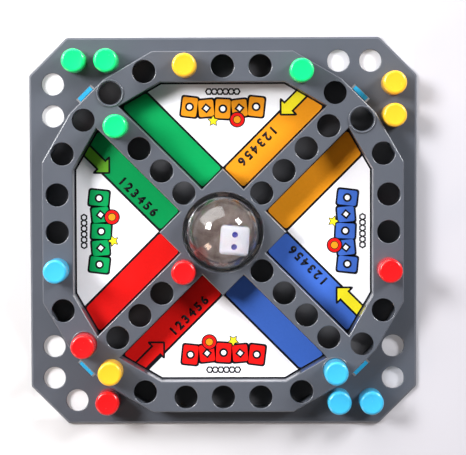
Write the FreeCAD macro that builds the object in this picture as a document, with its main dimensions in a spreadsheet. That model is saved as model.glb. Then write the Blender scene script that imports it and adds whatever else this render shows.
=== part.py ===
import FreeCAD, Part
import math
import os
import Sketcher
from FreeCAD import Placement, Rotation, Vector

# Pop up dice board game: a grey tray with a raised hollow track, a printed card under four
# windows, a snap-on bottom cover, a clear dome over a spring plate and a die, and sixteen pegs.
# Millimetres, +Z up. The origin is the centre of the footprint, on the surface it stands on.

DIMENSIONS = {
    # tray outline and levels
    "tray_half": 100.0,
    "tray_chamfer": 19.4,
    "tray_corner": 2.5,
    "rim_top": 2.4,
    "rim_plate": 1.0,
    "rim_skirt": 2.2,
    "rim_bevel": 1.0,
    "frame_top": 14.5,
    "wall": 1.6,
    "overlap": 0.5,
    "cut_over": 1.0,
    "edge_round": 0.6,
    "hole_round": 0.4,
    # raised track, seen from above: a square with each corner cut by three straight runs
    "frame_half": 92.4,
    "frame_flat": 36.0,
    "frame_corner_low": 60.9,
    "frame_corner_high": 78.0,
    # four windows between the track, the diagonal arms and the centre block
    "window_half": 76.7,
    "window_flat": 32.0,
    "arm_half": 7.9,
    "block_half": 32.5,
    # peg holes
    "hole_radius": 5.9,
    "hole_depth": 3.4,
    "home_radius": 5.65,
    "side_line": 84.75,
    "side_pitch": 19.2,
    "bend_x": 40.1,
    "bend_y": 82.0,
    "corner_x": 57.4,
    "corner_y": 71.1,
    "finish_first": 19.9,
    "finish_pitch": 11.4,
    "home_edge": 87.8,
    "home_near": 59.6,
    "home_far": 76.1,
    "bead_inner": 6.3,
    "bead_outer": 7.0,
    "bead_height": 0.7,
    "bead_round": 0.3,
    # slots for the cover's tabs
    "slot_centre": 100.5,
    "slot_long": 10.9,
    "slot_wide": 2.7,
    # printed card and bottom cover
    "cover_floor": 0.2,
    "cover_top": 1.4,
    "cover_gap": 0.3,
    "card_top": 1.9,
    "card_gap": 0.1,
    "card_clear": 0.05,
    "card_hole": 12.3,
    "tab_long": 8.8,
    "tab_wide": 2.3,
    "tab_top": 2.2,
    "tongue_long": 8.0,
    "tongue_thick": 1.1,
    "boss_radius": 12.0,
    # popper
    "bore_radius": 20.5,
    "tube_radius": 23.3,
    "seat_radius": 21.9,
    "seat_top": 6.2,
    "dome_radius": 18.6,
    "dome_crown": 19.8,
    "dome_corner": 6.0,
    "dome_wall": 1.2,
    "dome_centre": 12.0,
    "flange_radius": 21.5,
    "flange_low": 4.75,
    "flange_high": 6.15,
    "plate_radius": 16.2,
    "plate_thick": 0.3,
    "leg_reach": 20.5,
    "leg_foot": 0.7,
    "leg_rise": 2.5,
    "leg_root": 0.6,
    "leg_mitre": 0.08,
    "leg_gap_wide": 14.0,
    # die
    "die_size": 14.9,
    "die_round": 1.6,
    "die_x": 5.9,
    "die_y": -4.3,
    "die_turn": -4.6,
    "die_gap": 0.05,
    "pip_radius": 2.0,
    "pip_depth": 0.68,
    "pip_step": 3.1,
    # pegs
    "peg_radius": 6.2,
    "peg_tall": 14.7,
    "peg_round": 1.1,
    "stem_radius": 5.3,
    "stem_long": 2.2,
    "rest_gap": 0.02,
}

doc = FreeCAD.newDocument("dice_board_game")
sheet = doc.addObject("Spreadsheet::Sheet", "Sizes")
for row, (alias, value) in enumerate(DIMENSIONS.items(), start=1):
    sheet.set("A%d" % row, alias)
    sheet.set("B%d" % row, str(value))
    sheet.setAlias("B%d" % row, alias)
doc.recompute()

ROOT2 = "sqrt(2)"
TAN30 = "tan(30)"
TAN15 = "tan(15)"
# How far a corner between a run at 30 degrees and one at 45 moves for each millimetre of inset
CORNER_SHIFT = "((1 - sqrt(1 / 2)) / (cos(30) - sin(30)))"


def cell(alias):
    return "Sizes." + alias


def size(expression):
    """The number that an expression over the sheet's cells gives."""
    return float(sheet.evalExpression(expression))


def new_body(label):
    body = doc.addObject("PartDesign::Body", label)
    body.Label = label
    return body


def new_sketch(body, name, plane="XY_Plane", level=None):
    """An empty sketch on one of the body's own origin planes, raised to a level."""
    sketch = body.newObject("Sketcher::SketchObject", name)
    origin_plane = [o for o in body.Origin.OriginFeatures if o.Role == plane][0]
    sketch.AttachmentSupport = [(origin_plane, "")]
    sketch.MapMode = "FlatFace"
    if level is not None:
        sketch.setExpression(".AttachmentOffset.Base.z", level)
    return sketch


def pin_point(sketch, geometry, point, x, y):
    """Hold one point of a sketch at two expressions, measured from the origin."""
    for axis, kind, expression in ((-2, "DistanceX", x), (-1, "DistanceY", y)):
        if expression == "0":
            sketch.addConstraint(Sketcher.Constraint("PointOnObject", geometry, point, axis))
            continue
        value = size(expression)
        index = sketch.addConstraint(Sketcher.Constraint(kind, -1, 1, geometry, point, value))
        sketch.setExpression("Constraints[%d]" % index, expression)


def draw_outline(sketch, corners, arcs=None):
    """A closed outline through corners given as pairs of expressions.

    arcs maps the number of a side to the expressions of its arc: radius, centre x, centre y.
    """
    arcs = arcs or {}
    points = [Vector(size(x), size(y), 0) for x, y in corners]
    count = len(points)
    base = sketch.GeometryCount
    ends = []
    for i in range(count):
        start = points[i]
        stop = points[(i + 1) % count]
        if i in arcs:
            radius, centre_x, centre_y = arcs[i]
            centre = Vector(size(centre_x), size(centre_y), 0)
            low, high = sorted(
                ((start, 0), (stop, 1)), key=lambda p: math.atan2(p[0].y - centre.y, p[0].x - centre.x)
            )
            circle = Part.Circle(centre, Vector(0, 0, 1), size(radius))
            angles = [math.atan2(p[0].y - centre.y, p[0].x - centre.x) for p in (low, high)]
            sketch.addGeometry(Part.ArcOfCircle(circle, angles[0], angles[1]), False)
            ends.append((1, 2) if low[1] == 0 else (2, 1))
        else:
            sketch.addGeometry(Part.LineSegment(start, stop), False)
            ends.append((1, 2))
    for i in range(count):
        after = (i + 1) % count
        joint = Sketcher.Constraint("Coincident", base + i, ends[i][1], base + after, ends[after][0])
        sketch.addConstraint(joint)
    for i, (x, y) in enumerate(corners):
        pin_point(sketch, base + i, ends[i][0], x, y)
    for i, (radius, _, _) in arcs.items():
        index = sketch.addConstraint(Sketcher.Constraint("Radius", base + i, size(radius)))
        sketch.setExpression("Constraints[%d]" % index, radius)


def draw_circle(sketch, x, y, radius):
    circle = Part.Circle(Vector(size(x), size(y), 0), Vector(0, 0, 1), size(radius))
    index = sketch.addGeometry(circle, False)
    pin_point(sketch, index, 3, x, y)
    held = sketch.addConstraint(Sketcher.Constraint("Radius", index, size(radius)))
    sketch.setExpression("Constraints[%d]" % held, radius)


def pad(body, sketch, height):
    feature = body.newObject("PartDesign::Pad", sketch.Name + "Pad")
    feature.Profile = sketch
    feature.setExpression("Length", height)
    sketch.Visibility = False
    doc.recompute()
    return feature


def pocket(body, sketch, depth=None):
    """Cut downwards from the sketch, right through unless a depth is given."""
    before = body.Shape.Volume
    feature = body.newObject("PartDesign::Pocket", sketch.Name + "Cut")
    feature.Profile = sketch
    if depth is None:
        feature.Type = "ThroughAll"
    else:
        feature.setExpression("Length", depth)
    doc.recompute()
    if not body.Shape.Volume < before - 1e-6:
        raise RuntimeError(feature.Name + " cuts nothing")
    return feature


def repeat(body, features, name, count=4):
    """Repeat features about the vertical axis, at the quarter turns unless a count is given."""
    pattern = body.newObject("PartDesign::PolarPattern", name)
    pattern.Originals = features
    z_axis = [o for o in body.Origin.OriginFeatures if o.Role == "Z_Axis"][0]
    pattern.Axis = (z_axis, [""])
    pattern.Angle = 360
    pattern.Occurrences = count
    body.Tip = pattern
    doc.recompute()
    return pattern


def edges_where(shape, test):
    """Names of the edges whose every vertex passes the test."""
    found = []
    for number, edge in enumerate(shape.Edges, start=1):
        if all(test(vertex.Point, edge) for vertex in edge.Vertexes):
            found.append("Edge%d" % number)
    return found


def round_edges(body, base, names, radius, name):
    feature = body.newObject("PartDesign::Fillet", name)
    feature.Base = (base, names)
    feature.setExpression("Radius", radius)
    doc.recompute()
    return feature


def octagon(inset="0"):
    """Corners of the tray outline, moved inwards by inset."""
    half = "(%s - %s)" % (cell("tray_half"), inset)
    short = "(%s - %s + %s * %s)" % (cell("tray_half"), cell("tray_chamfer"), inset, "(1 - sqrt(2))")
    around = [(short, half), (half, short)]
    return turn_about(around)


def turn_about(first_quarter):
    """Corners of one quarter, in order, repeated at the four quarter turns clockwise."""
    corners = []
    quarter = list(first_quarter)
    for _ in range(4):
        corners.extend(quarter)
        quarter = [(y, "-" + x if not x.startswith("-") else x[1:]) for x, y in quarter]
    return corners


def track_outline(inset="0"):
    """Corners of the raised track's outer outline, moved inwards by inset."""
    half = "(%s - %s)" % (cell("frame_half"), inset)
    flat = "(%s - %s * %s)" % (cell("frame_flat"), inset, TAN15)
    low = "(%s - %s * (%s - %s))" % (cell("frame_corner_low"), inset, ROOT2, CORNER_SHIFT)
    high = "(%s - %s * %s)" % (cell("frame_corner_high"), inset, CORNER_SHIFT)
    return turn_about([(flat, half), (low, high), (high, low), (half, flat)])


def window_outline(grow="0"):
    """Corners of the window on the +Y side, moved outwards by grow."""
    block = "(%s - %s * %s)" % (cell("block_half"), grow, ROOT2)
    arm = "((%s - %s) * %s)" % (cell("arm_half"), grow, ROOT2)
    half = "(%s + %s)" % (cell("window_half"), grow)
    flat = "(%s + %s * %s)" % (cell("window_flat"), grow, TAN15)
    notch_x = "((%s - %s) / 2)" % (block, arm)
    notch_y = "((%s + %s) / 2)" % (block, arm)
    outer_x = "((%s + %s * %s - %s) / (1 + %s))" % (half, flat, TAN30, arm, TAN30)
    outer_y = "(%s + %s)" % (outer_x, arm)
    return [
        ("0", block), (notch_x, notch_y), (outer_x, outer_y), (flat, half),
        ("-" + flat, half), ("-" + outer_x, outer_y), ("-" + notch_x, notch_y),
    ]


TRACK_HOLES = [
    ("-" + cell("corner_x"), cell("corner_y")),
    ("-" + cell("bend_x"), cell("bend_y")),
    ("-" + cell("side_pitch"), cell("side_line")),
    ("0", cell("side_line")),
    (cell("side_pitch"), cell("side_line")),
    (cell("bend_x"), cell("bend_y")),
    (cell("corner_x"), cell("corner_y")),
]
FINISH_HOLES = [
    ("(%s + %d * %s)" % (cell("finish_first"), i, cell("finish_pitch")),) * 2 for i in range(4)
]
HOME_HOLES = [
    (cell("home_near"), cell("home_edge")),
    (cell("home_far"), cell("home_edge")),
    (cell("home_edge"), cell("home_far")),
    (cell("home_edge"), cell("home_near")),
]


def holes(body, name, places, radius, level, depth):
    """A set of round holes, cut down from a level and repeated at the quarter turns."""
    sketch = new_sketch(body, name, level=level)
    for x, y in places:
        draw_circle(sketch, x, y, radius)
    cut = pocket(body, sketch, depth)
    return repeat(body, [cut], name + "Pattern")


def diagonal_box(sketch, near, far, half_wide):
    """A rectangle across the +X+Y diagonal between two distances from the centre."""
    def place(along, across):
        x = "((%s + %s) / %s)" % (along, across, ROOT2)
        y = "((%s - %s) / %s)" % (along, across, ROOT2)
        return x, y

    draw_outline(sketch, [
        place(near, "(-%s)" % half_wide), place(far, "(-%s)" % half_wide),
        place(far, half_wide), place(near, half_wide),
    ])


# Top shell: one moulding with the rim, the raised hollow track, arms and centre block
def make_top_shell():
    body = new_body("top_shell")
    rim = new_sketch(body, "RimOutline")
    draw_outline(rim, octagon())
    rim_pad = pad(body, rim, cell("rim_top"))
    top = size(cell("rim_top"))
    upright = edges_where(body.Shape, lambda p, e: e.BoundBox.ZLength > top - 1e-6)
    corners = round_edges(body, rim_pad, upright, cell("tray_corner"), "RimCorners")
    bevel = body.newObject("PartDesign::Chamfer", "RimBevel")
    bevel.Base = (corners, edges_where(body.Shape, lambda p, e: abs(p.z - top) < 1e-6))
    bevel.setExpression("Size", cell("rim_bevel"))
    doc.recompute()

    frame = new_sketch(body, "TrackOutline")
    draw_outline(frame, track_outline())
    pad(body, frame, cell("frame_top"))

    under = new_sketch(body, "UnderRim", level="%s - %s" % (cell("rim_top"), cell("rim_plate")))
    draw_outline(under, octagon(cell("rim_skirt")))
    pocket(body, under)

    roof = "%s - %s" % (cell("frame_top"), cell("wall"))
    cavity = new_sketch(body, "TrackCavity", level=roof)
    draw_outline(cavity, track_outline(cell("wall")))
    pocket(body, cavity)

    above_card = "%s + %s" % (cell("card_top"), cell("card_clear"))
    rise = "%s - %s - %s" % (cell("frame_top"), cell("card_top"), cell("overlap"))
    walls = new_sketch(body, "WindowWalls", level=above_card)
    draw_outline(walls, window_outline(cell("wall")))
    walls_pad = pad(body, walls, rise)
    repeat(body, [walls_pad], "WindowWallsPattern")

    windows = new_sketch(body, "Windows", level=cell("frame_top"))
    draw_outline(windows, window_outline())
    windows_cut = pocket(body, windows)
    repeat(body, [windows_cut], "WindowsPattern")

    tube = new_sketch(body, "DomeTube", level=above_card)
    draw_circle(tube, "0", "0", cell("tube_radius"))
    pad(body, tube, rise)
    bore = new_sketch(body, "DomeBore", level=cell("frame_top"))
    draw_circle(bore, "0", "0", cell("bore_radius"))
    pocket(body, bore)
    seat = new_sketch(body, "FlangeSeat", level=cell("seat_top"))
    draw_circle(seat, "0", "0", cell("seat_radius"))
    seat_cut = pocket(body, seat)

    crown = size(cell("frame_top"))
    names = edges_where(body.Shape, lambda p, e: abs(p.z - crown) < 1e-6)
    round_edges(body, seat_cut, names, cell("edge_round"), "TopEdges")

    bead = new_sketch(body, "StartBead", level="%s - %s" % (cell("frame_top"), cell("overlap")))
    start_x = "-" + cell("corner_x")
    draw_circle(bead, start_x, cell("corner_y"), cell("bead_outer"))
    draw_circle(bead, start_x, cell("corner_y"), cell("bead_inner"))
    bead_pad = pad(body, bead, "%s + %s" % (cell("bead_height"), cell("overlap")))
    beads = repeat(body, [bead_pad], "StartBeads")
    bead_top = size("%s + %s" % (cell("frame_top"), cell("bead_height")))
    names = edges_where(body.Shape, lambda p, e: abs(p.z - bead_top) < 1e-6)
    round_edges(body, beads, names, cell("bead_round"), "BeadEdges")

    holes(body, "TrackHoles", TRACK_HOLES, cell("hole_radius"), cell("frame_top"), cell("hole_depth"))
    holes(body, "FinishHoles", FINISH_HOLES, cell("hole_radius"), cell("frame_top"), cell("hole_depth"))
    home = holes(body, "HomeHoles", HOME_HOLES, cell("home_radius"), cell("rim_top"), None)

    start_reach = math.hypot(size(cell("corner_x")), size(cell("corner_y")))

    def on_hole_mouth(point, edge):
        """Round mouths of the holes, apart from the start holes inside their beads."""
        if not isinstance(edge.Curve, Part.Circle):
            return False
        centre = edge.Curve.Center
        radius = edge.Curve.Radius
        corner = abs(math.hypot(centre.x, centre.y) - start_reach) < 1e-6
        on_track = abs(point.z - crown) < 1e-6 and abs(radius - size(cell("hole_radius"))) < 1e-6
        on_rim = abs(point.z - top) < 1e-6 and abs(radius - size(cell("home_radius"))) < 1e-6
        return (on_track and not corner) or on_rim

    mouths = edges_where(body.Shape, on_hole_mouth)
    round_edges(body, home, mouths, cell("hole_round"), "HoleMouths")

    slot = new_sketch(body, "TabSlot", level=cell("rim_top"))
    near = "(%s - %s / 2)" % (cell("slot_centre"), cell("slot_wide"))
    far = "(%s + %s / 2)" % (cell("slot_centre"), cell("slot_wide"))
    diagonal_box(slot, near, far, "(%s / 2)" % cell("slot_long"))
    slot_cut = pocket(body, slot)
    repeat(body, [slot_cut], "TabSlots")
    return body


# Printed card, clamped between the window walls and the cover, with a hole for the boss
def make_printed_card():
    body = new_body("printed_card")
    sketch = new_sketch(body, "CardOutline", level=cell("cover_top"))
    draw_outline(sketch, track_outline("(%s + %s)" % (cell("wall"), cell("card_gap"))))
    draw_circle(sketch, "0", "0", cell("card_hole"))
    pad(body, sketch, "%s - %s" % (cell("card_top"), cell("cover_top")))
    return body


# Bottom cover with a boss under the spring plate and four snap tabs
def make_bottom_cover():
    body = new_body("bottom_cover")
    plate = new_sketch(body, "CoverOutline", level=cell("cover_floor"))
    draw_outline(plate, track_outline(cell("cover_gap")))
    pad(body, plate, "%s - %s" % (cell("cover_top"), cell("cover_floor")))
    boss = new_sketch(body, "SpringBoss", level=cell("cover_top"))
    draw_circle(boss, "0", "0", cell("boss_radius"))
    pad(body, boss, "%s - %s" % (cell("card_top"), cell("cover_top")))

    far = "(%s + %s / 2)" % (cell("slot_centre"), cell("tab_wide"))
    near = "(%s - %s / 2)" % (cell("slot_centre"), cell("tab_wide"))
    half = "(%s / 2)" % cell("tab_long")
    tongue = new_sketch(body, "Tongue", level=cell("cover_floor"))
    diagonal_box(tongue, "(%s - %s)" % (cell("slot_centre"), cell("tongue_long")), far, half)
    tongue_pad = pad(body, tongue, cell("tongue_thick"))
    tab = new_sketch(body, "Tab", level=cell("cover_floor"))
    diagonal_box(tab, near, far, half)
    tab_pad = pad(body, tab, "%s - %s" % (cell("tab_top"), cell("cover_floor")))
    repeat(body, [tongue_pad, tab_pad], "Tabs")
    return body


# Spring plate: a flat disc with six bent legs that push the dome up
def make_popper_plate():
    body = new_body("popper_plate")
    profile = new_sketch(body, "PlateProfile", plane="XZ_Plane")
    low = cell("card_top")
    high = "(%s + %s)" % (cell("card_top"), cell("plate_thick"))
    edge = cell("plate_radius")
    reach = cell("leg_reach")
    foot = "(%s + %s)" % (reach, cell("leg_foot"))
    foot_low = "(%s + %s)" % (low, cell("leg_rise"))
    foot_high = "(%s + %s)" % (high, cell("leg_rise"))
    mitre = cell("leg_mitre")
    draw_outline(profile, [
        ("0", low), (edge, low), (reach, foot_low), (foot, foot_low),
        (foot, foot_high), ("(%s - %s)" % (reach, mitre), foot_high),
        ("(%s - %s)" % (edge, mitre), high), ("0", high),
    ])
    turned = body.newObject("PartDesign::Revolution", "PlateTurned")
    turned.Profile = profile
    turned.ReferenceAxis = (profile, ["V_Axis"])
    turned.Angle = 360
    doc.recompute()
    gap = new_sketch(body, "LegGap", level="%s + %s" % (foot_high, cell("cut_over")))
    half = "(%s / 2)" % cell("leg_gap_wide")
    inner = "(%s + %s)" % (edge, cell("leg_root"))
    outer = "(%s + %s)" % (foot, cell("cut_over"))
    draw_outline(gap, [(inner, half), (outer, half), (outer, "-" + half), (inner, "-" + half)])
    gap_cut = pocket(body, gap)
    repeat(body, [gap_cut], "LegGaps", 6)
    return body


# Clear dome with a round wall, a blended crown and a flange that keeps it in the tray
def make_dome():
    body = new_body("dome")
    sketch = new_sketch(body, "DomeProfile", plane="XZ_Plane")
    radius = cell("dome_radius")
    wall = cell("dome_wall")
    corner = cell("dome_corner")
    crown = cell("dome_crown")
    centre = cell("dome_centre")
    reach = "(%s - %s)" % (radius, corner)
    span = "(%s - %s)" % (crown, corner)
    rise = "sqrt(%s * %s - %s * %s)" % (span, span, reach, reach)
    bend = "(%s + %s)" % (centre, rise)
    inside = "(%s - %s)" % (radius, wall)
    inner_crown = "(%s - %s)" % (crown, wall)
    inner_corner = "(%s - %s)" % (corner, wall)

    def blend(sphere):
        """Where the corner arc meets a crown of the given radius."""
        return "(%s / %s * %s)" % (reach, span, sphere), "(%s + %s / %s * %s)" % (centre, rise, span, sphere)

    corners = [
        (inside, cell("flange_low")),
        (cell("flange_radius"), cell("flange_low")),
        (cell("flange_radius"), cell("flange_high")),
        (radius, cell("flange_high")),
        (radius, bend),
        blend(crown),
        ("0", "(%s + %s)" % (centre, crown)),
        ("0", "(%s + %s)" % (centre, inner_crown)),
        blend(inner_crown),
        (inside, bend),
    ]
    arcs = {
        4: (corner, reach, bend),
        5: (crown, "0", centre),
        7: (inner_crown, "0", centre),
        8: (inner_corner, reach, bend),
    }
    draw_outline(sketch, corners, arcs)
    turned = body.newObject("PartDesign::Revolution", "DomeTurned")
    turned.Profile = sketch
    turned.ReferenceAxis = (sketch, ["V_Axis"])
    turned.Angle = 360
    doc.recompute()
    return body


# Die with rounded edges and shallow dimples, opposite faces adding up to seven
def pip_places(count):
    """Places of the pips on one face, in steps from its middle."""
    pairs = {
        1: [(0, 0)],
        2: [(0, 1), (0, -1)],
        3: [(0, 0), (1, 1), (-1, -1)],
        4: [(1, 1), (1, -1), (-1, 1), (-1, -1)],
    }
    if count == 5:
        return pairs[4] + pairs[1]
    if count == 6:
        return [(u, v) for u in (1, -1) for v in (1.15, 0, -1.15)]
    return pairs[count]


def make_die():
    block = doc.addObject("Part::Box", "DieBlock")
    for side in ("Length", "Width", "Height"):
        block.setExpression(side, cell("die_size"))
    for axis in ("x", "y", "z"):
        block.setExpression(".Placement.Base." + axis, "-%s / 2" % cell("die_size"))
    doc.recompute()
    rounded = doc.addObject("Part::Fillet", "DieRounded")
    rounded.Base = block
    radius = size(cell("die_round"))
    rounded.Edges = [(i + 1, radius, radius) for i in range(len(block.Shape.Edges))]
    faces = [
        (2, Vector(0, 0, 1), Vector(1, 0, 0), Vector(0, 1, 0)),
        (5, Vector(0, 0, -1), Vector(1, 0, 0), Vector(0, 1, 0)),
        (3, Vector(1, 0, 0), Vector(0, 1, 0), Vector(0, 0, 1)),
        (4, Vector(-1, 0, 0), Vector(0, 1, 0), Vector(0, 0, 1)),
        (1, Vector(0, -1, 0), Vector(1, 0, 0), Vector(0, 0, 1)),
        (6, Vector(0, 1, 0), Vector(1, 0, 0), Vector(0, 0, 1)),
    ]
    outward = "(%s / 2 + %s - %s)" % (cell("die_size"), cell("pip_radius"), cell("pip_depth"))
    dimples = []
    for count, normal, across, along in faces:
        for u, v in pip_places(count):
            ball = doc.addObject("Part::Sphere", "Pip")
            ball.setExpression("Radius", cell("pip_radius"))
            step = across * u + along * v
            for axis in ("x", "y", "z"):
                n = getattr(normal, axis)
                s = getattr(step, axis)
                place = "%g * %s + %g * %s" % (n, outward, s, cell("pip_step"))
                ball.setExpression(".Placement.Base." + axis, place)
            dimples.append(ball)
    pips = doc.addObject("Part::MultiFuse", "Pips")
    pips.Shapes = dimples
    die = doc.addObject("Part::Cut", "die")
    die.Base = rounded
    die.Tool = pips
    die.Label = "die"
    die.setExpression(".Placement.Base.x", cell("die_x"))
    die.setExpression(".Placement.Base.y", cell("die_y"))
    die.setExpression(".Placement.Base.z", "%s + %s + %s + %s / 2" % (
        cell("card_top"), cell("plate_thick"), cell("die_gap"), cell("die_size")))
    die.setExpression(".Placement.Rotation.Angle", cell("die_turn"))
    doc.recompute()
    return die


# Pegs: a round head on a shorter stem that drops into any hole
def on_track(number):
    """Hole of the track, counted clockwise from the start hole at the upper left."""
    quarter, step = divmod(number - 1, 7)
    x, y = (size(e) for e in TRACK_HOLES[step])
    return turned_place(x, y, quarter) + (size(cell("frame_top")),)


def turned_place(x, y, quarter):
    for _ in range(quarter):
        x, y = y, -x
    return x, y


def at_home(quarter, number):
    x, y = (size(e) for e in HOME_HOLES[number])
    return turned_place(x, y, quarter) + (size(cell("rim_top")),)


def at_finish(quarter, number):
    x, y = (size(e) for e in FINISH_HOLES[number])
    return turned_place(x, y, quarter) + (size(cell("frame_top")),)


# Quarters are counted clockwise from the upper right corner; homes run clockwise in each
UPPER_RIGHT, LOWER_RIGHT, LOWER_LEFT, UPPER_LEFT = 0, 1, 2, 3
PEG_PLACES = {
    "green": [at_home(UPPER_LEFT, 2), at_home(UPPER_LEFT, 3), at_finish(UPPER_LEFT, 3), on_track(6)],
    "yellow": [on_track(3), at_home(UPPER_RIGHT, 2), at_home(UPPER_RIGHT, 3), on_track(21)],
    "blue": [on_track(24), on_track(15), at_home(LOWER_RIGHT, 2), at_home(LOWER_RIGHT, 3)],
    "red": [at_finish(LOWER_LEFT, 0), on_track(12), on_track(22), at_home(LOWER_LEFT, 0)],
}


def make_peg(label, place):
    body = new_body(label)
    sketch = new_sketch(body, "Profile_" + label, plane="XZ_Plane")
    stem = cell("stem_radius")
    head = cell("peg_radius")
    deep = "(-%s)" % cell("stem_long")
    draw_outline(sketch, [
        ("0", deep), (stem, deep), (stem, "0"), (head, "0"), (head, cell("peg_tall")), ("0", cell("peg_tall")),
    ])
    turned = body.newObject("PartDesign::Revolution", "Turned_" + label)
    turned.Profile = sketch
    turned.ReferenceAxis = (sketch, ["V_Axis"])
    turned.Angle = 360
    doc.recompute()
    tall = size(cell("peg_tall"))
    names = edges_where(body.Shape, lambda p, e: abs(p.z - tall) < 1e-6 and isinstance(e.Curve, Part.Circle))
    round_edges(body, turned, names, cell("peg_round"), "Crown_" + label)
    x, y, z = place
    body.Placement = Placement(Vector(x, y, z + size(cell("rest_gap"))), Rotation())
    return body


parts = [make_top_shell(), make_printed_card(), make_bottom_cover(), make_popper_plate(), make_dome(), make_die()]
for colour, places in PEG_PLACES.items():
    for number, place in enumerate(places, start=1):
        parts.append(make_peg("%s_peg_%d" % (colour, number), place))

doc.recompute()
for item in doc.Objects:
    if "Invalid" in item.State or "Error" in item.State:
        raise RuntimeError("failed: " + item.Name)
for part in parts:
    if part.Shape.isNull() or not part.Shape.isValid() or len(part.Shape.Solids) != 1:
        raise RuntimeError("bad shape: " + part.Label)

os.makedirs("parts", exist_ok=True)
for part in parts:
    part.Shape.exportStep("parts/%s.step" % part.Label)
    box = part.Shape.BoundBox
    print("%-16s volume %9.1f mm3  z %6.2f to %6.2f" % (part.Label, part.Shape.Volume, box.ZMin, box.ZMax))
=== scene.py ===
import math

import bmesh
import bpy
from mathutils import Matrix, Vector


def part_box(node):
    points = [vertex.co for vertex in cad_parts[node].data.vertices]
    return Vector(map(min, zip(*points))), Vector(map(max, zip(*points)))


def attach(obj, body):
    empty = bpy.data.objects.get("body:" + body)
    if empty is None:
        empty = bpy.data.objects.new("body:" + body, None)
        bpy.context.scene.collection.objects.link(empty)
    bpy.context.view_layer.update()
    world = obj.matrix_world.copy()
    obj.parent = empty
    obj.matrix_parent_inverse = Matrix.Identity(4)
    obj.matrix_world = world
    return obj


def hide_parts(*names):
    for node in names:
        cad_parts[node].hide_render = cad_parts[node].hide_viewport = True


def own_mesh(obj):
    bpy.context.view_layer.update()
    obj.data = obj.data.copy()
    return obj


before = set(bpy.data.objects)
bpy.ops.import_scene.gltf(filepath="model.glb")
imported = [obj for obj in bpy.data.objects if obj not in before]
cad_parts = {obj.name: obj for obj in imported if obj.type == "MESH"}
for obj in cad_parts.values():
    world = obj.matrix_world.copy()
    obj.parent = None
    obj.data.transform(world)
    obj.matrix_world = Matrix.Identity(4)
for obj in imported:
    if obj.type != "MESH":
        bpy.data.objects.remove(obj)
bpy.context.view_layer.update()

# Metres in a millimetre. Shapes are in millimetres; the camera, lamps and floor are in metres.
MM = 0.001

# The tray seen from above: half the width of an arm, the centre block from its middle to a corner,
# the windows' outer sides from the middle, and half the straight length of such a side
ARM_HALF = 7.9
BLOCK_HALF = 32.5
WINDOW_HALF = 76.7
WINDOW_FLAT = 32.0
DIAGONAL = math.sqrt(0.5)
CARD_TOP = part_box("printed_card")[1].z / MM

# Ink of the strip with the arrow in each window, clockwise from the window at +Y
COLOURS = ["orange", "blue", "red", "green"]


def linear(r, g, b):
    """A colour written as sRGB from 0 to 255, as Blender's linear values."""
    def one(c):
        c /= 255.0
        return c / 12.92 if c <= 0.04045 else ((c + 0.055) / 1.055) ** 2.4
    return one(r), one(g), one(b), 1.0


def darker(colour, shade):
    return tuple(c * shade for c in colour[:3]) + (1.0,)


# Materials
class Shader:
    """A material with one Principled shader, and short ways to add to it."""

    def __init__(self, name):
        self.material = bpy.data.materials.new(name)
        self.material.use_nodes = True
        self.tree = self.material.node_tree
        self.surface = self.tree.nodes["Principled BSDF"]

    def node(self, kind, **inputs):
        made = self.tree.nodes.new(kind)
        for name, value in inputs.items():
            made.inputs[name.replace("_", " ")].default_value = value
        return made

    def link(self, source, output, target, name):
        self.tree.links.new(source.outputs[output], target.inputs[name])

    def set(self, **inputs):
        for name, value in inputs.items():
            self.surface.inputs[name.replace("_", " ")].default_value = value

    def noise(self, scale, detail=3.0, rough=0.5, stretch=(1, 1, 1)):
        place = self.node("ShaderNodeTexCoord")
        mapping = self.node("ShaderNodeMapping", Scale=stretch)
        made = self.node("ShaderNodeTexNoise", Scale=scale, Detail=detail, Roughness=rough)
        self.link(place, "Object", mapping, "Vector")
        self.link(mapping, "Vector", made, "Vector")
        return made

    def ramp(self, source, output, stops):
        made = self.node("ShaderNodeValToRGB")
        elements = made.color_ramp.elements
        while len(elements) < len(stops):
            elements.new(0.5)
        for element, (place, colour) in zip(elements, stops):
            element.position = place
            element.color = colour
        self.link(source, output, made, "Fac")
        return made

    def mottle(self, dark, light, scale, detail=3.0):
        """Base colour that wanders between two close colours."""
        noise = self.noise(scale, detail, 0.6)
        ramp = self.ramp(noise, "Fac", [(0.35, dark), (0.65, light)])
        self.link(ramp, "Color", self.surface, "Base Color")

    def uneven_gloss(self, low, high, scale):
        """Roughness that wanders between two values."""
        noise = self.noise(scale, 4.0, 0.6)
        spread = self.node("ShaderNodeMapRange", From_Min=0.3, From_Max=0.7, To_Min=low, To_Max=high)
        self.link(noise, "Fac", spread, "Value")
        self.link(spread, "Result", self.surface, "Roughness")

    def grain(self, scale, strength, distance, stretch=(1, 1, 1)):
        """Bump from fine noise; distance is in metres."""
        noise = self.noise(scale, 2.0, 0.5, stretch)
        bump = self.node("ShaderNodeBump", Strength=strength, Distance=distance)
        self.link(noise, "Fac", bump, "Height")
        self.link(bump, "Normal", self.surface, "Normal")


def moulded(name, colour, shade=0.94, gloss=(0.3, 0.42), grain=0.08, grain_scale=2600.0):
    """Injection-moulded plastic: faint flow marks, uneven gloss and a very fine grain."""
    shader = Shader(name)
    shader.mottle(darker(colour, shade), colour, scale=45.0, detail=4.0)
    shader.uneven_gloss(gloss[0], gloss[1], scale=180.0)
    shader.grain(grain_scale, grain, distance=0.00005)
    shader.set(IOR=1.5)
    return shader


def tray_plastic(name, colour):
    """Satin plastic with a soft sheen over it."""
    shader = moulded(name, colour, shade=0.965, gloss=(0.28, 0.36), grain=0.03, grain_scale=1900.0)
    shader.set(Coat_Weight=0.8, Coat_Roughness=0.2)
    return shader.material


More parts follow.
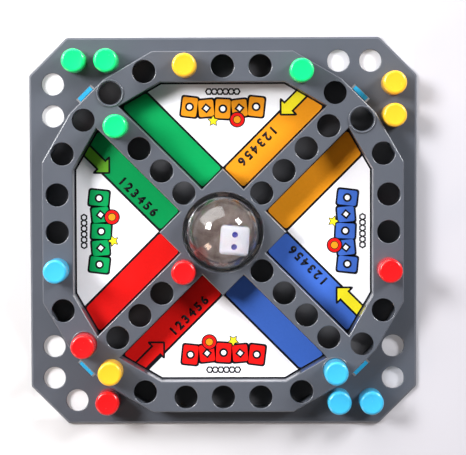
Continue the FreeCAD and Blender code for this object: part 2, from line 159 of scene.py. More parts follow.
def peg_plastic(name, colour):
    """Glossy, slightly translucent plastic."""
    shader = moulded(name, colour, shade=0.99, gloss=(0.24, 0.28), grain=0.005)
    shader.set(Subsurface_Weight=0.06, Subsurface_Scale=0.002, Coat_Weight=0.3, Coat_Roughness=0.2)
    shader.surface.inputs["Subsurface Radius"].default_value = (1.0, 0.6, 0.4)
    return shader.material


def ink(name, colour, shade=0.96):
    """Print with the faint mottle and low sheen of a coated sheet."""
    shader = Shader(name)
    shader.mottle(darker(colour, shade), colour, scale=900.0, detail=2.0)
    shader.uneven_gloss(0.38, 0.5, scale=300.0)
    shader.grain(5000.0, strength=0.03, distance=0.00002)
    shader.set(IOR=1.4, Specular_IOR_Level=0.2)
    return shader.material


grey_plastic = tray_plastic("grey_plastic", linear(80, 84, 93))
cover_plastic = moulded("cover_plastic", linear(45, 168, 218), gloss=(0.3, 0.4)).material
PEG_PLASTICS = {
    "green": peg_plastic("green_plastic", linear(14, 214, 120)),
    "yellow": peg_plastic("yellow_plastic", linear(234, 178, 38)),
    "blue": peg_plastic("blue_plastic", linear(58, 171, 214)),
    "red": peg_plastic("red_plastic", linear(214, 18, 22)),
}
INKS = {
    "black": ink("ink_black", linear(14, 14, 20)),
    "white": ink("ink_white", linear(238, 238, 243), 0.985),
    "green": ink("ink_green", linear(3, 146, 78)),
    "orange": ink("ink_orange", linear(219, 140, 25)),
    "blue": ink("ink_blue", linear(60, 100, 188)),
    "red": ink("ink_red", linear(217, 20, 18)),
    "lime": ink("ink_lime", linear(108, 176, 48)),
    "yellow": ink("ink_yellow", linear(234, 220, 38)),
}


def clear_plastic():
    """Clear plastic, a little hazy in places."""
    shader = Shader("clear_plastic")
    shader.set(Transmission_Weight=1.0, IOR=1.49)
    shader.mottle((0.96, 0.96, 0.965, 1.0), (0.98, 0.98, 0.985, 1.0), scale=120.0)
    shader.uneven_gloss(0.05, 0.1, scale=200.0)
    return shader.material


def spring_steel():
    """Tinned steel: brushed, with cloudy stains."""
    shader = Shader("spring_steel")
    shader.mottle(linear(124, 103, 96), linear(196, 180, 170), scale=90.0, detail=5.0)
    shader.uneven_gloss(0.3, 0.5, scale=240.0)
    shader.grain(1500.0, strength=0.2, distance=0.00006, stretch=(1.0, 0.1, 1.0))
    shader.set(Metallic=0.35)
    return shader.material


def die_plastic():
    shader = moulded("die_plastic", linear(240, 238, 250), shade=0.98, gloss=(0.15, 0.25), grain=0.02)
    shader.set(Subsurface_Weight=0.15, Subsurface_Scale=0.002)
    return shader.material


clear = clear_plastic()
steel = spring_steel()
die_white = die_plastic()
pip_blue = moulded("pip_paint", linear(58, 58, 165), shade=0.9, gloss=(0.08, 0.14), grain=0.02).material


# Mesh helpers
def add_mesh(name, vertices, faces, materials, smooth_angle=None):
    """A new object from points in millimetres."""
    mesh = bpy.data.meshes.new(name)
    mesh.from_pydata([tuple(c * MM for c in v) for v in vertices], [], faces)
    for material in materials:
        mesh.materials.append(material)
    mesh.update()
    piece = bpy.data.objects.new(name, mesh)
    bpy.context.scene.collection.objects.link(piece)
    if smooth_angle is not None:
        mesh.shade_smooth()
        mesh.set_sharp_from_angle(angle=math.radians(smooth_angle))
    return piece


def clean(piece):
    """Merge doubles and point every face outwards."""
    work = bmesh.new()
    work.from_mesh(piece.data)
    bmesh.ops.remove_doubles(work, verts=work.verts, dist=1e-7)
    bmesh.ops.recalc_face_normals(work, faces=work.faces)
    work.to_mesh(piece.data)
    work.free()


def lathe(name, profile, material, steps=96, smooth_angle=35, centre=(0, 0, 0)):
    """A closed profile of (radius, height) turned about the vertical axis."""
    vertices = []
    rings = []
    for radius, height in profile:
        if radius < 1e-6:
            rings.append([len(vertices)])
            vertices.append((centre[0], centre[1], centre[2] + height))
            continue
        rings.append(list(range(len(vertices), len(vertices) + steps)))
        for i in range(steps):
            angle = 2 * math.pi * i / steps
            x = centre[0] + radius * math.cos(angle)
            y = centre[1] + radius * math.sin(angle)
            vertices.append((x, y, centre[2] + height))
    faces = []
    for below, above in zip(rings, rings[1:]):
        for i in range(steps):
            j = (i + 1) % steps
            low = [below[i % len(below)], below[j % len(below)]]
            high = [above[j % len(above)], above[i % len(above)]]
            face = list(dict.fromkeys(low + high))
            if len(face) > 2:
                faces.append(face)
    piece = add_mesh(name, vertices, faces, [material], smooth_angle)
    clean(piece)
    return piece


def arc(centre, radius, first, last, steps):
    """Points of an arc in a profile, angles in degrees from the +radius direction."""
    points = []
    for i in range(steps + 1):
        angle = math.radians(first + (last - first) * i / steps)
        points.append((centre[0] + radius * math.cos(angle), centre[1] + radius * math.sin(angle)))
    return points


# The printed card. Its inks lie in layers this thick, so that a higher layer hides a lower one.
LEVEL = 0.012


def clip(outline, normal, limit):
    """Keep the part of a convex outline where the normal's product is within the limit."""
    kept = []
    for i, here in enumerate(outline):
        after = outline[(i + 1) % len(outline)]
        a = here[0] * normal[0] + here[1] * normal[1] - limit
        b = after[0] * normal[0] + after[1] * normal[1] - limit
        if a <= 0:
            kept.append(here)
        if (a < 0 < b) or (b < 0 < a):
            share = a / (a - b)
            kept.append((here[0] + share * (after[0] - here[0]), here[1] + share * (after[1] - here[1])))
    return kept


def rounded(outline, radius, steps=5):
    """Round each corner of an outline, less where its sides are short."""
    points = []
    count = len(outline)
    for i in range(count):
        before, here, after = (Vector(outline[(i + k) % count]) for k in (-1, 0, 1))
        back = before - here
        on = after - here
        half = back.angle(on) / 2
        reach = min(radius / math.tan(half), 0.45 * back.length, 0.45 * on.length)
        start = here + back.normalized() * reach
        stop = here + on.normalized() * reach
        for k in range(steps + 1):
            share = k / steps
            bend = start * (1 - share) ** 2 + here * 2 * share * (1 - share) + stop * share ** 2
            points.append((bend.x, bend.y))
    return points


def disc(centre, radius, sides=32, turn=0.0):
    """A circle, or a regular polygon when it has few sides."""
    return [(
        centre[0] + radius * math.cos(turn + 2 * math.pi * i / sides),
        centre[1] + radius * math.sin(turn + 2 * math.pi * i / sides),
    ) for i in range(sides)]


def star(centre, radius, points=5, waist=0.5):
    """A star whose inner corners lie at the waist's share of its radius."""
    outline = []
    for i in range(points * 2):
        reach = radius if i % 2 == 0 else radius * waist
        angle = math.pi / 2 + math.pi * i / points
        outline.append((centre[0] + reach * math.cos(angle), centre[1] + reach * math.sin(angle)))
    return outline


def square(centre, half, turn):
    """A square of twice the given half, turned in degrees."""
    return disc(centre, half * math.sqrt(2), 4, math.radians(45 + turn))


def quarter(point, turns):
    """A point turned clockwise by quarter turns about the board's centre."""
    x, y = point
    for _ in range(turns):
        x, y = y, -x
    return x, y


class Print:
    """Thin slabs of ink, gathered by colour into one mesh."""

    def __init__(self):
        self.vertices = []
        self.faces = []
        self.inks = []

    def add(self, outline, colour, level, turns=0):
        """One slab, from just inside the card up to its layer."""
        points = [quarter(p, turns) for p in outline]
        area = sum(a[0] * b[1] - b[0] * a[1] for a, b in zip(points, points[1:] + points[:1]))
        if area < 0:
            points.reverse()
        low = CARD_TOP - LEVEL / 2
        high = CARD_TOP + LEVEL * level
        base = len(self.vertices)
        count = len(points)
        self.vertices.extend((x, y, low) for x, y in points)
        self.vertices.extend((x, y, high) for x, y in points)
        self.faces.append([base + i for i in reversed(range(count))])
        self.faces.append([base + count + i for i in range(count)])
        for i in range(count):
            j = (i + 1) % count
            self.faces.append([base + i, base + j, base + count + j, base + count + i])
        self.inks.extend([colour] * (count + 2))

    def build(self, name):
        colours = sorted(set(self.inks))
        piece = add_mesh(name, self.vertices, self.faces, [INKS[c] for c in colours])
        piece.data.polygons.foreach_set("material_index", [colours.index(c) for c in self.inks])
        return piece


# Black border beside the walls, and black line between a strip and the white
BORDER = 0.8
LINE = 1.15

# Distance of the block's sides from the middle; the strips are as wide
STRIP_EDGE = BLOCK_HALF * DIAGONAL

# Direction of the windows' slanted outer sides, and their distance from the middle
SLANT = (0.5, math.sqrt(0.75))
SLANT_REACH = WINDOW_FLAT * SLANT[0] + WINDOW_HALF * SLANT[1]

# Directions along the arm to the upper right and across it
ALONG = (DIAGONAL, DIAGONAL)
ACROSS = (-DIAGONAL, DIAGONAL)
EVERYTHING = [(-100, -100), (100, -100), (100, 100), (-100, 100)]


def mirrored(outline):
    return [(-x, y) for x, y in outline]


def zone(limits, outline=EVERYTHING):
    """What is left of an outline inside all the limits, each a direction and a distance."""
    for normal, limit in limits:
        outline = clip(outline, normal, limit)
    return outline


def window_ground():
    """Dark print under a whole window and a little way under its walls."""
    reach = 1.0
    block = BLOCK_HALF * DIAGONAL - reach
    return zone([
        ((-ALONG[0], -ALONG[1]), -(ARM_HALF - reach)),
        ((-ACROSS[0], -ACROSS[1]), -(ARM_HALF - reach)),
        ((0, -1), -block),
        (SLANT, SLANT_REACH + reach),
        ((-SLANT[0], SLANT[1]), SLANT_REACH + reach),
        ((0, 1), WINDOW_HALF + reach),
    ])


def strip_zone():
    """The coloured strip beside the arm that runs to the upper right."""
    back = (-ACROSS[0], -ACROSS[1])
    return zone([
        (ACROSS, STRIP_EDGE - LINE / 2),
        (back, -(ARM_HALF + BORDER)),
        ((-ALONG[0], -ALONG[1]), -(STRIP_EDGE + BORDER * 0.8)),
        (SLANT, SLANT_REACH - BORDER),
        ((0, 1), WINDOW_HALF - BORDER),
    ])


def white_zone():
    """The white middle of a window."""
    back = (-ACROSS[0], -ACROSS[1])
    return zone([
        (back, -(STRIP_EDGE + LINE / 2)),
        ((-ALONG[0], -ALONG[1]), -(STRIP_EDGE + LINE / 2)),
        (SLANT, SLANT_REACH - BORDER),
        ((-SLANT[0], SLANT[1]), SLANT_REACH - BORDER),
        ((0, 1), WINDOW_HALF - BORDER),
    ])


def on_strip(along, across):
    """A place beside the upper right arm, from its distances along and across the diagonal."""
    return along * ALONG[0] + across * ACROSS[0], along * ALONG[1] + across * ACROSS[1]


# The arrows: places along and across the strip, half widths, and each window's own shift
ARROW_TIP = 63.0
ARROW_ACROSS = 19.4
ARROW_HEAD = 4.6
ARROW_SHAFT = 2.5
ARROW_TAIL = 86.0
ARROW_EDGE = 1.0
ARROW_SHIFTS = [(1.3, 2.0), (0.0, 1.3), (0.4, -0.4), (0.7, 0.8)]


def arrow_parts(grow, shift):
    """An arrow that points at the centre, as two convex outlines; its tail runs to the track."""
    tip = ARROW_TIP - grow * math.sqrt(2)
    head = ARROW_HEAD + grow * (1 + math.sqrt(2))
    neck = ARROW_TIP + ARROW_HEAD + grow
    shaft = ARROW_SHAFT + grow
    point = [(tip, 0), (neck, head), (neck, -head)]
    bar = [(neck, shaft), (ARROW_TAIL, shaft), (ARROW_TAIL, -shaft), (neck, -shaft)]
    placed = []
    for part in (point, bar):
        placed.append([on_strip(x + shift[0], ARROW_ACROSS + y + shift[1]) for x, y in part])
    outer_border = [(SLANT, SLANT_REACH - BORDER), ((0, 1), WINDOW_HALF - BORDER)]
    return [rounded(placed[0], 0.9 if grow else 0.2), zone(outer_border, placed[1])]


def numeral_mesh(text, height, weight):
    """The flat mesh of one numeral, from Blender's own plain font, bolder by the weight."""
    curve = bpy.data.curves.new("numeral", "FONT")
    curve.body = text
    curve.size = height * MM / CAPITAL_SHARE
    curve.offset = weight * MM
    curve.align_x = "CENTER"
    curve.align_y = "CENTER"
    curve.resolution_u = 6
    maker = bpy.data.objects.new("numeral", curve)
    bpy.context.scene.collection.objects.link(maker)
    bpy.context.view_layer.update()
    mesh = bpy.data.meshes.new_from_object(maker)
    bpy.data.objects.remove(maker)
    return mesh


# The numerals: size, places along and across the strip, and a numeral's share of the font size
CAPITAL_SHARE = 0.7
NUMERAL_HEIGHT = 4.3
NUMERAL_WEIGHT = 0.3
NUMERAL_FIRST = 55.2
NUMERAL_STEP = 4.55
NUMERAL_ACROSS = 18.6
NUMERALS = "123456"


def add_numerals(turns):
    """Plain numbers along the strip, read from the arrow towards the centre."""
    work = bmesh.new()
    for i, text in enumerate(NUMERALS):
        mesh = numeral_mesh(text, NUMERAL_HEIGHT, NUMERAL_WEIGHT)
        x, y = quarter(on_strip(NUMERAL_FIRST - i * NUMERAL_STEP, NUMERAL_ACROSS), turns)
        heading = math.radians(225 - 90 * turns)
        place = Matrix.Translation((x * MM, y * MM, (CARD_TOP + 3 * LEVEL) * MM))
        mesh.transform(place @ Matrix.Rotation(heading, 4, "Z"))
        work.from_mesh(mesh)
    bmesh.ops.remove_doubles(work, verts=work.verts, dist=1e-7)
    grown = bmesh.ops.extrude_face_region(work, geom=work.faces[:])
    moved = [v for v in grown["geom"] if isinstance(v, bmesh.types.BMVert)]
    bmesh.ops.translate(work, verts=moved, vec=(0, 0, -2 * LEVEL * MM))
    bmesh.ops.recalc_face_normals(work, faces=work.faces)
    mesh = bpy.data.meshes.new("numerals")
    work.to_mesh(mesh)
    work.free()
    mesh.materials.append(INKS["black"])
    made = bpy.data.objects.new("card_numerals_%d" % (turns + 1), mesh)
    bpy.context.scene.collection.objects.link(made)
    return made


# The motif: its distance from the middle, the tiles' pitch and half sizes, and their black edge
MOTIF_OUT = 64.2
MOTIF_PITCH = 8.6
MOTIF_WIDE = 3.9
MOTIF_TALL = 4.9
OUTLINE = 1.0


def tile(centre, half_wide, half_tall, tilt):
    """A rectangle tilted by some degrees."""
    turn = math.radians(tilt)
    corners = []
    for side, end in ((-1, -1), (1, -1), (1, 1), (-1, 1)):
        x = side * half_wide
        y = end * half_tall
        across = x * math.cos(turn) - y * math.sin(turn)
        up = x * math.sin(turn) + y * math.cos(turn)
        corners.append((centre[0] + across, centre[1] + up))
    return corners


def add_motif(sheet, colour, turns):
    """A generic pattern: a band of outlined tiles, two counters and a row of small hexagons."""
    places = []
    for i, tilt in enumerate((-7, 5, -3, 6, -6)):
        lift = math.cos((i - 2) * 0.8)
        tall = MOTIF_TALL - (0.0 if i % 2 == 0 else 0.6)
        places.append((((i - 2) * MOTIF_PITCH, MOTIF_OUT - lift), tall, tilt))
    for centre, tall, tilt in places:
        edge = tile(centre, MOTIF_WIDE + OUTLINE, tall + OUTLINE, tilt)
        sheet.add(rounded(edge, 1.8), "black", 3, turns)
    for i, (centre, tall, tilt) in enumerate(places):
        sheet.add(rounded(tile(centre, MOTIF_WIDE, tall, tilt), 1.2), colour, 4, turns)
        if i % 2 == 0:
            sheet.add(disc(centre, 2.3), "black", 5, turns)
            sheet.add(disc(centre, 1.3), "white", 6, turns)
        else:
            sheet.add(square(centre, 1.9, 45 + tilt), "black", 5, turns)
            sheet.add(square(centre, 1.0, 45 + tilt), "white", 6, turns)
    counter = (7.4, MOTIF_OUT - 6.6)
    rings = [(4.1, "black"), (3.5, "red"), (2.2, "black"), (1.8, "orange")]
    for level, (radius, name) in enumerate(rings, start=7):
        sheet.add(disc(counter, radius), name, level, turns)
    spark = (-5.0, MOTIF_OUT - 7.2)
    sheet.add(rounded(star(spark, 3.4), 0.3), "black", 7, turns)
    sheet.add(star(spark, 2.5), "yellow", 8, turns)
    for i in range(6):
        dot = ((i - 2.5) * 2.9, MOTIF_OUT + 7.9)
        sheet.add(disc(dot, 2.0, 6), "black", 7, turns)
        sheet.add(disc(dot, 1.1, 6), "white", 8, turns)


def make_card():
    """The print of all four windows, and the numerals of each."""
    sheet = Print()
    for turns, colour in enumerate(COLOURS):
        before = COLOURS[turns - 1]
        sheet.add(window_ground(), "black", 1, turns)
        sheet.add(rounded(strip_zone(), 1.6), colour, 2, turns)
        sheet.add(rounded(mirrored(strip_zone()), 1.6), before, 2, turns)
        sheet.add(white_zone(), "white", 2, turns)
        for outline in arrow_parts(ARROW_EDGE, ARROW_SHIFTS[turns]):
            sheet.add(outline, "black", 3, turns)
        fill = {"green": "lime", "red": "red"}.get(colour, "yellow")
        for outline in arrow_parts(0.0, ARROW_SHIFTS[turns]):
            sheet.add(outline, fill, 4, turns)
        add_motif(sheet, colour, turns)
        numerals = add_numerals(turns)
        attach(numerals, "board")
    printed = sheet.build("card_print")
    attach(printed, "board")


def paint_node(name, material):
    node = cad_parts[name]
    node.data.materials.clear()
    node.data.materials.append(material)


def card_ground():
    """Dark print on the faces of the card, pale board on its cut edges."""
    shader = Shader("card_ground")
    place = shader.node("ShaderNodeNewGeometry")
    split = shader.node("ShaderNodeSeparateXYZ")
    shader.link(place, "Normal", split, "Vector")
    ramp = shader.ramp(split, "Z", [(0.4, linear(225, 222, 214)), (0.6, linear(74, 74, 78))])
    shader.link(ramp, "Color", shader.surface, "Base Color")
    shader.uneven_gloss(0.35, 0.5, scale=300.0)
    shader.grain(4000.0, strength=0.05, distance=0.00002)
    return shader.material


# Pegs
def make_peg(name, colour):
    """Round head with a soft edge and slight draft on a shorter stem, hollow from below."""
    low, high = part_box(name)
    centre = ((low.x + high.x) / 2 / MM, (low.y + high.y) / 2 / MM, low.z / MM)
    head = (high.x - low.x) / 2 / MM
    tall = (high.z - low.z) / MM
    stem = 5.3
    shoulder = 2.2
    crown = 1.4
    draft = 0.12
    hollow = [(0, 1.4), (3.0, 1.4), (3.3, 0.3), (3.5, 0.0)]
    foot = [(stem - 0.35, 0.0), (stem - 0.1, 0.08), (stem, 0.35), (stem, shoulder)]
    skirt = [(head - 0.25, shoulder), (head - 0.06, shoulder + 0.06), (head, shoulder + 0.3)]
    side = [(head - 0.08, tall * 0.55)]
    edge = arc((head - draft - crown, tall - crown), crown, 0, 90, 10)
    top = [(head - 1.6, tall), (head - 2.0, tall - 0.06), (head - 2.6, tall - 0.14), (0, tall - 0.16)]
    profile = hollow + foot + skirt + side + edge + top
    piece = lathe(name + "_body", profile, PEG_PLASTICS[colour], 72, 30, centre)
    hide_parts(name)
    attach(piece, name)


# Popper
def make_dome():
    """The dome as a turned shell: flange, round wall and a crown of a larger radius."""
    low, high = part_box("dome")
    wall = 1.2
    outer = 18.6
    corner = 6.0
    crown = 19.8
    flange = (high.x - low.x) / 2 / MM
    bottom = low.z / MM
    rim = bottom + 1.4
    centre = high.z / MM - crown
    reach = outer - corner
    rise = math.sqrt((crown - corner) ** 2 - reach ** 2)
    tilt = math.degrees(math.atan2(rise, reach))
    bend = (reach, centre + rise)
    profile = arc((0, centre), crown - wall, 90, tilt, 40)[:-1]
    profile += arc(bend, corner - wall, tilt, 0, 14)
    profile += [(outer - wall, rim + 4), (outer - wall, bottom)]
    profile += [(flange - 0.2, bottom), (flange, bottom + 0.2)]
    profile += [(flange, rim - 0.2), (flange - 0.2, rim), (outer + 0.5, rim), (outer + 0.1, rim + 0.15)]
    profile += [(outer, rim + 0.6), (outer, rim + 4)]
    profile += arc(bend, corner, 0, tilt, 14)[:-1]
    profile += arc((0, centre), crown, tilt, 90, 40)
    # Both ends of the profile lie exactly on the axis
    profile[0] = (0, profile[0][1])
    profile[-1] = (0, profile[-1][1])
    piece = lathe("clear_dome", profile, clear, 160, 30)
    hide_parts("dome")
    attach(piece, "dome")


def make_spring_plate():
    """Thin disc with stamped rings and six bent legs."""
    low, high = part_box("popper_plate")
    base = low.z / MM
    thick = 0.3
    disc_radius = 16.2
    foot = (high.x - low.x) / 2 / MM
    rise = high.z / MM - base - thick
    reach = foot - 0.7
    steps = 180
    legs = 6
    gap = 14.0
    slope = rise / (reach - disc_radius)
    rings = [(0.0, 0.0), (4.0, 0.0), (4.4, 0.06), (5.0, 0.06), (5.4, 0.0), (9.0, 0.0)]
    rings += [(13.6, 0.0), (14.0, 0.05), (14.6, 0.05), (15.0, 0.0), (disc_radius, 0.0)]
    rings += [(disc_radius + 0.6, 0.6 * slope), (reach, rise), (foot, rise)]
    # Beyond this radius only the legs are left
    notch_from = disc_radius + 0.55
    vertices = []
    index = {}
    for side in (0, 1):
        for r, (radius, height) in enumerate(rings):
            for i in range(steps if radius > 0 else 1):
                angle = 2 * math.pi * i / steps
                index[side, r, i] = len(vertices)
                level = base + height + side * thick
                vertices.append((radius * math.cos(angle), radius * math.sin(angle), level))
    kept = set()
    sector = 2 * math.pi / legs
    for r in range(len(rings) - 1):
        for i in range(steps):
            middle = (rings[r][0] + rings[r + 1][0]) / 2
            angle = (2 * math.pi * (i + 0.5) / steps + sector / 2) % sector - sector / 2
            if middle < notch_from or abs(middle * math.sin(angle)) > gap / 2:
                kept.add((r, i))

    def corner(side, r, i):
        return index[side, r, i % steps if rings[r][0] > 0 else 0]

    faces = []
    for r, i in kept:
        top = [corner(1, r, i), corner(1, r + 1, i), corner(1, r + 1, i + 1), corner(1, r, i + 1)]
        under = [corner(0, r, i), corner(0, r, i + 1), corner(0, r + 1, i + 1), corner(0, r + 1, i)]
        faces.append(list(dict.fromkeys(top)))
        faces.append(list(dict.fromkeys(under)))
        # Each neighbour of the cell, and the ends of the edge towards it
        around = [
            ((r + 1, i), (r + 1, i), (r + 1, i + 1)),
            ((r - 1, i), (r, i + 1), (r, i)),
            ((r, (i + 1) % steps), (r + 1, i + 1), (r, i + 1)),
            ((r, (i - 1) % steps), (r, i), (r + 1, i)),
        ]
        for neighbour, a, b in around:
            if neighbour in kept or neighbour[0] < 0:
                continue
            faces.append([corner(0, *a), corner(0, *b), corner(1, *b), corner(1, *a)])
    piece = add_mesh("spring_plate", vertices, faces, [steel], 30)
    clean(piece)
    drop_loose(piece)
    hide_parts("popper_plate")
    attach(piece, "board")
    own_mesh(piece)


def drop_loose(piece):
    """Delete points that no face uses."""
    work = bmesh.new()
    work.from_mesh(piece.data)
    loose = [v for v in work.verts if not v.link_faces]
    bmesh.ops.delete(work, geom=loose, context="VERTS")
    work.to_mesh(piece.data)
    work.free()


# Places of the pips on a face, and for each face its count, its normal and its two sides
PIPS = {
    1: [(0, 0)],
    2: [(0, 1), (0, -1)],
    3: [(0, 0), (1, 1), (-1, -1)],
    4: [(1, 1), (1, -1), (-1, 1), (-1, -1)],
}
PIPS[5] = PIPS[4] + PIPS[1]
PIPS[6] = [(u, v) for u in (1, -1) for v in (1.15, 0, -1.15)]
DIE_FACES = [
    (2, (0, 0, 1), (1, 0, 0), (0, 1, 0)),
    (5, (0, 0, -1), (1, 0, 0), (0, 1, 0)),
    (3, (1, 0, 0), (0, 1, 0), (0, 0, 1)),
    (4, (-1, 0, 0), (0, 1, 0), (0, 0, 1)),
    (1, (0, -1, 0), (1, 0, 0), (0, 0, 1)),
    (6, (0, 1, 0), (1, 0, 0), (0, 0, 1)),
]

# The die's edge length and rounding, its turn in degrees, and the pips' ball, depth and step
DIE_SIZE = 14.9
DIE_ROUND = 1.9
DIE_TURN = -4.6
PIP_BALL = 2.0
PIP_DEPTH = 0.68
PIP_STEP = 3.1


def make_die():
    """A rounded cube with painted dimples."""
    low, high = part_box("die")
    work = bmesh.new()
    bmesh.ops.create_cube(work, size=DIE_SIZE * MM)
    sharp = work.verts[:] + work.edges[:]
    bmesh.ops.bevel(work, geom=sharp, offset=DIE_ROUND * MM, segments=8, profile=0.5, affect="EDGES")
    mesh = bpy.data.meshes.new("die_block")
    work.to_mesh(mesh)
    work.free()
    mesh.materials.append(die_white)
    mesh.materials.append(pip_blue)
    block = bpy.data.objects.new("die_block", mesh)
    bpy.context.scene.collection.objects.link(block)
    balls = bmesh.new()
    for count, normal, across, along in DIE_FACES:
        for u, v in PIPS[count]:
            out = Vector(normal) * (DIE_SIZE / 2 + PIP_BALL - PIP_DEPTH)
            spot = out + Vector(across) * u * PIP_STEP + Vector(along) * v * PIP_STEP
            bmesh.ops.create_icosphere(
                balls, subdivisions=4, radius=PIP_BALL * MM, matrix=Matrix.Translation(spot * MM)
            )
    cutter_mesh = bpy.data.meshes.new("pip_cutter")
    balls.to_mesh(cutter_mesh)
    balls.free()
    cutter_mesh.materials.append(die_white)
    cutter_mesh.materials.append(pip_blue)
    cutter_mesh.polygons.foreach_set("material_index", [1] * len(cutter_mesh.polygons))
    cutter = bpy.data.objects.new("pip_cutter", cutter_mesh)
    bpy.context.scene.collection.objects.link(cutter)
    cut = block.modifiers.new("pips", "BOOLEAN")
    cut.operation = "DIFFERENCE"
    cut.solver = "EXACT"
    cut.object = cutter
    bpy.context.view_layer.update()
    graph = bpy.context.evaluated_depsgraph_get()
    done = bpy.data.meshes.new_from_object(block.evaluated_get(graph))
    middle = (low + high) / 2
    done.transform(Matrix.Translation(middle) @ Matrix.Rotation(math.radians(DIE_TURN), 4, "Z"))
    done.shade_smooth()
    done.set_sharp_from_angle(angle=math.radians(25))
    bpy.data.objects.remove(block)
    bpy.data.objects.remove(cutter)
    piece = bpy.data.objects.new("rolling_die", done)
    bpy.context.scene.collection.objects.link(piece)
    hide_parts("die")
    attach(piece, "die")


# Camera, lights and floor. The focal length and the aim off the vertical are in pixels of a picture
# this wide, the sensor is in millimetres and the roll in degrees.
IMAGE_WIDE = 466
FOCAL_PIXELS = 1842.3
SENSOR = 36.0
VIEW_FROM = Vector((0.012, 0.044, 0.955))
AIM = (13.4, 81.5)
ROLL = -0.173


def make_camera():
    forward = Vector((-AIM[0] / FOCAL_PIXELS, -AIM[1] / FOCAL_PIXELS, -1.0)).normalized()
    right = forward.cross(Vector((0, 1, 0))).normalized()
    up = right.cross(forward)
    turn = math.radians(ROLL)
    right, up = right * math.cos(turn) + up * math.sin(turn), up * math.cos(turn) - right * math.sin(turn)
    data = bpy.data.cameras.new("camera")
    data.sensor_width = SENSOR
    data.lens = FOCAL_PIXELS / IMAGE_WIDE * SENSOR
    camera = bpy.data.objects.new("camera", data)
    bpy.context.scene.collection.objects.link(camera)
    axes = Matrix((right, up, -forward)).transposed().to_4x4()
    camera.matrix_world = Matrix.Translation(VIEW_FROM) @ axes
    bpy.context.scene.camera = camera


def softbox(name, azimuth, elevation, distance, wide, tall, power, colour):
    """A rectangular lamp that looks at the board's centre. Azimuth is counted from +X towards +Y."""
    around = math.radians(azimuth)
    up = math.radians(elevation)
    level = math.cos(up)
    place = distance * Vector((math.cos(around) * level, math.sin(around) * level, math.sin(up)))
    data = bpy.data.lights.new(name, "AREA")
    data.shape = "RECTANGLE"
    data.size = wide
    data.size_y = tall
    data.energy = power
    data.color = colour
    lamp = bpy.data.objects.new(name, data)
    bpy.context.scene.collection.objects.link(lamp)
    lamp.location = place
    lamp.rotation_mode = "QUATERNION"
    lamp.rotation_quaternion = (-place).to_track_quat("-Z", "Y")


# Strength of the world as a light, and its share of white in reflections and through the dome
WORLD_LIGHT = 0.04
GLOSSY_SHARE = 0.06
CLEAR_SHARE = 0.1


def make_world():
    """White behind the scene, dimmer in reflections and through the dome."""
    world = bpy.data.worlds.new("world")
    world.use_nodes = True
    bpy.context.scene.world = world
    tree = world.node_tree
    tree.nodes.clear()
    soft = tree.nodes.new("ShaderNodeBackground")
    soft.inputs["Color"].default_value = (0.95, 0.97, 1.0, 1.0)
    soft.inputs["Strength"].default_value = WORLD_LIGHT
    plain = tree.nodes.new("ShaderNodeBackground")
    plain.inputs["Color"].default_value = (1.0, 1.0, 1.0, 1.0)
    plain.inputs["Strength"].default_value = 1.0
    path = tree.nodes.new("ShaderNodeLightPath")
    gloss = tree.nodes.new("ShaderNodeMath")
    gloss.operation = "MULTIPLY_ADD"
    gloss.inputs[1].default_value = GLOSSY_SHARE
    share = tree.nodes.new("ShaderNodeMath")
    share.operation = "MULTIPLY_ADD"
    share.inputs[1].default_value = CLEAR_SHARE
    mix = tree.nodes.new("ShaderNodeMixShader")
    out = tree.nodes.new("ShaderNodeOutputWorld")
    tree.links.new(path.outputs["Is Glossy Ray"], gloss.inputs[0])
    tree.links.new(path.outputs["Is Camera Ray"], gloss.inputs[2])
    tree.links.new(path.outputs["Is Transmission Ray"], share.inputs[0])
    tree.links.new(gloss.outputs[0], share.inputs[2])
    tree.links.new(share.outputs[0], mix.inputs["Fac"])
    tree.links.new(soft.outputs[0], mix.inputs[1])
    tree.links.new(plain.outputs[0], mix.inputs[2])
    tree.links.new(mix.outputs[0], out.inputs["Surface"])


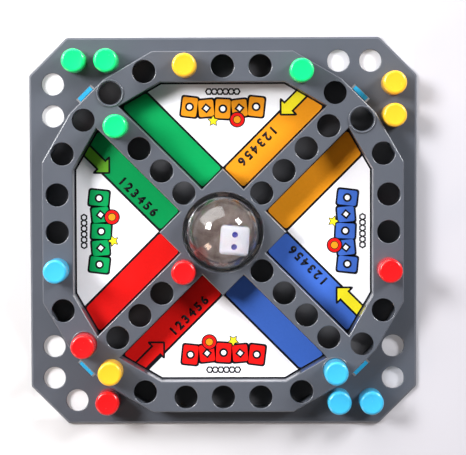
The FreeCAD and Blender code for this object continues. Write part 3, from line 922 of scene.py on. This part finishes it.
def make_floor():
    """A pale floor with painted shade that turns it greyer to the right, painted light that brightens it
    under the tray and in the tray's holes, and brighter towards the horizon.
    """
    half = 4.0
    corners = [(-half, -half, 0), (half, -half, 0), (half, half, 0), (-half, half, 0)]
    mesh = bpy.data.meshes.new("floor")
    mesh.from_pydata(corners, [], [(0, 1, 2, 3)])
    floor = bpy.data.objects.new("floor", mesh)
    bpy.context.scene.collection.objects.link(floor)
    # Just below the tray, so that the two surfaces don't coincide
    floor.location.z = -0.00002
    shader = Shader("floor")
    tree = shader.tree
    tree.nodes.remove(shader.surface)
    place = shader.node("ShaderNodeTexCoord")
    split = shader.node("ShaderNodeSeparateXYZ")
    shader.link(place, "Object", split, "Vector")
    # Painted shade: the floor's colour turns greyer from left to right
    lean = shader.node("ShaderNodeMapRange", From_Min=-0.12, From_Max=0.13, To_Min=0.0, To_Max=1.0)
    shader.link(split, "X", lean, "Value")
    left = (0.62, 0.62, 0.63, 1.0)
    right = (0.47, 0.46, 0.5, 1.0)
    painted_shade_tint = shader.ramp(lean, "Result", [(0.0, left), (1.0, right)])
    matt = shader.node("ShaderNodeBsdfDiffuse")
    shader.link(painted_shade_tint, "Color", matt, "Color")

    def reckon(operation, *sources):
        made = shader.node("ShaderNodeMath")
        made.operation = operation
        for slot, (source, output) in enumerate(sources):
            shader.link(source, output, made, slot)
        return made

    across = reckon("ABSOLUTE", (split, "X"))
    along = reckon("ABSOLUTE", (split, "Y"))
    far = reckon("MAXIMUM", (across, "Value"), (along, "Value"))
    corner = reckon("SUBTRACT", (split, "X"), (split, "Y"))
    # Glow seen by the camera: painted light under the tray, brighter to the upper left, that fills the
    # shade seen through the tray's holes; a trace around it, and more towards the horizon
    painted_light_under_tray = shader.node("ShaderNodeMapRange", From_Min=-0.18, From_Max=0.18, To_Min=0.4, To_Max=0.1)
    shader.link(corner, "Value", painted_light_under_tray, "Value")
    under = shader.node("ShaderNodeMapRange", From_Min=0.095, From_Max=0.099, To_Max=0.02)
    shader.link(far, "Value", under, "Value")
    shader.link(painted_light_under_tray, "Result", under, "To Min")
    horizon = shader.node("ShaderNodeMapRange", From_Min=0.25, From_Max=1.6, To_Min=0.0, To_Max=0.8)
    shader.link(far, "Value", horizon, "Value")
    bright = reckon("ADD", (under, "Result"), (horizon, "Result"))
    path = shader.node("ShaderNodeLightPath")
    side = shader.node("ShaderNodeNewGeometry")
    above = reckon("SUBTRACT", (path, "Is Camera Ray"), (side, "Backfacing"))
    above.use_clamp = True
    share = reckon("MULTIPLY", (above, "Value"), (bright, "Value"))
    glow = shader.node("ShaderNodeEmission", Color=(0.98, 0.97, 1.0, 1.0))
    shader.link(share, "Value", glow, "Strength")
    both = shader.node("ShaderNodeAddShader")
    shader.link(matt, "BSDF", both, 0)
    shader.link(glow, "Emission", both, 1)
    shader.link(both, "Shader", tree.nodes["Material Output"], "Surface")
    mesh.materials.append(shader.material)


# Name, azimuth and elevation in degrees, distance, width and height in metres, watts, colour
WHITE = (1.0, 1.0, 1.0)
WARM = (1.0, 0.74, 0.58)
LAMPS = [
    ("key", 155, 43, 1.3, 0.38, 0.36, 20.0, WHITE),
    ("window", 122, 25, 1.3, 1.6, 1.0, 22.0, WHITE),
    ("second", 35, 30, 1.3, 0.36, 0.3, 19.0, WHITE),
    ("front", 290, 30, 1.5, 2.2, 0.9, 3.6, WHITE),
    ("warm_spill", 223, 27, 1.3, 0.34, 0.42, 4.5, WARM),
]

paint_node("top_shell", grey_plastic)
paint_node("bottom_cover", cover_plastic)
paint_node("printed_card", card_ground())
make_card()
for colour in PEG_PLASTICS:
    for number in range(1, 5):
        make_peg("%s_peg_%d" % (colour, number), colour)
make_dome()
make_spring_plate()
make_die()

make_floor()
make_world()
for lamp in LAMPS:
    softbox(*lamp)
make_camera()
bpy.context.scene.view_settings.view_transform = "Standard"
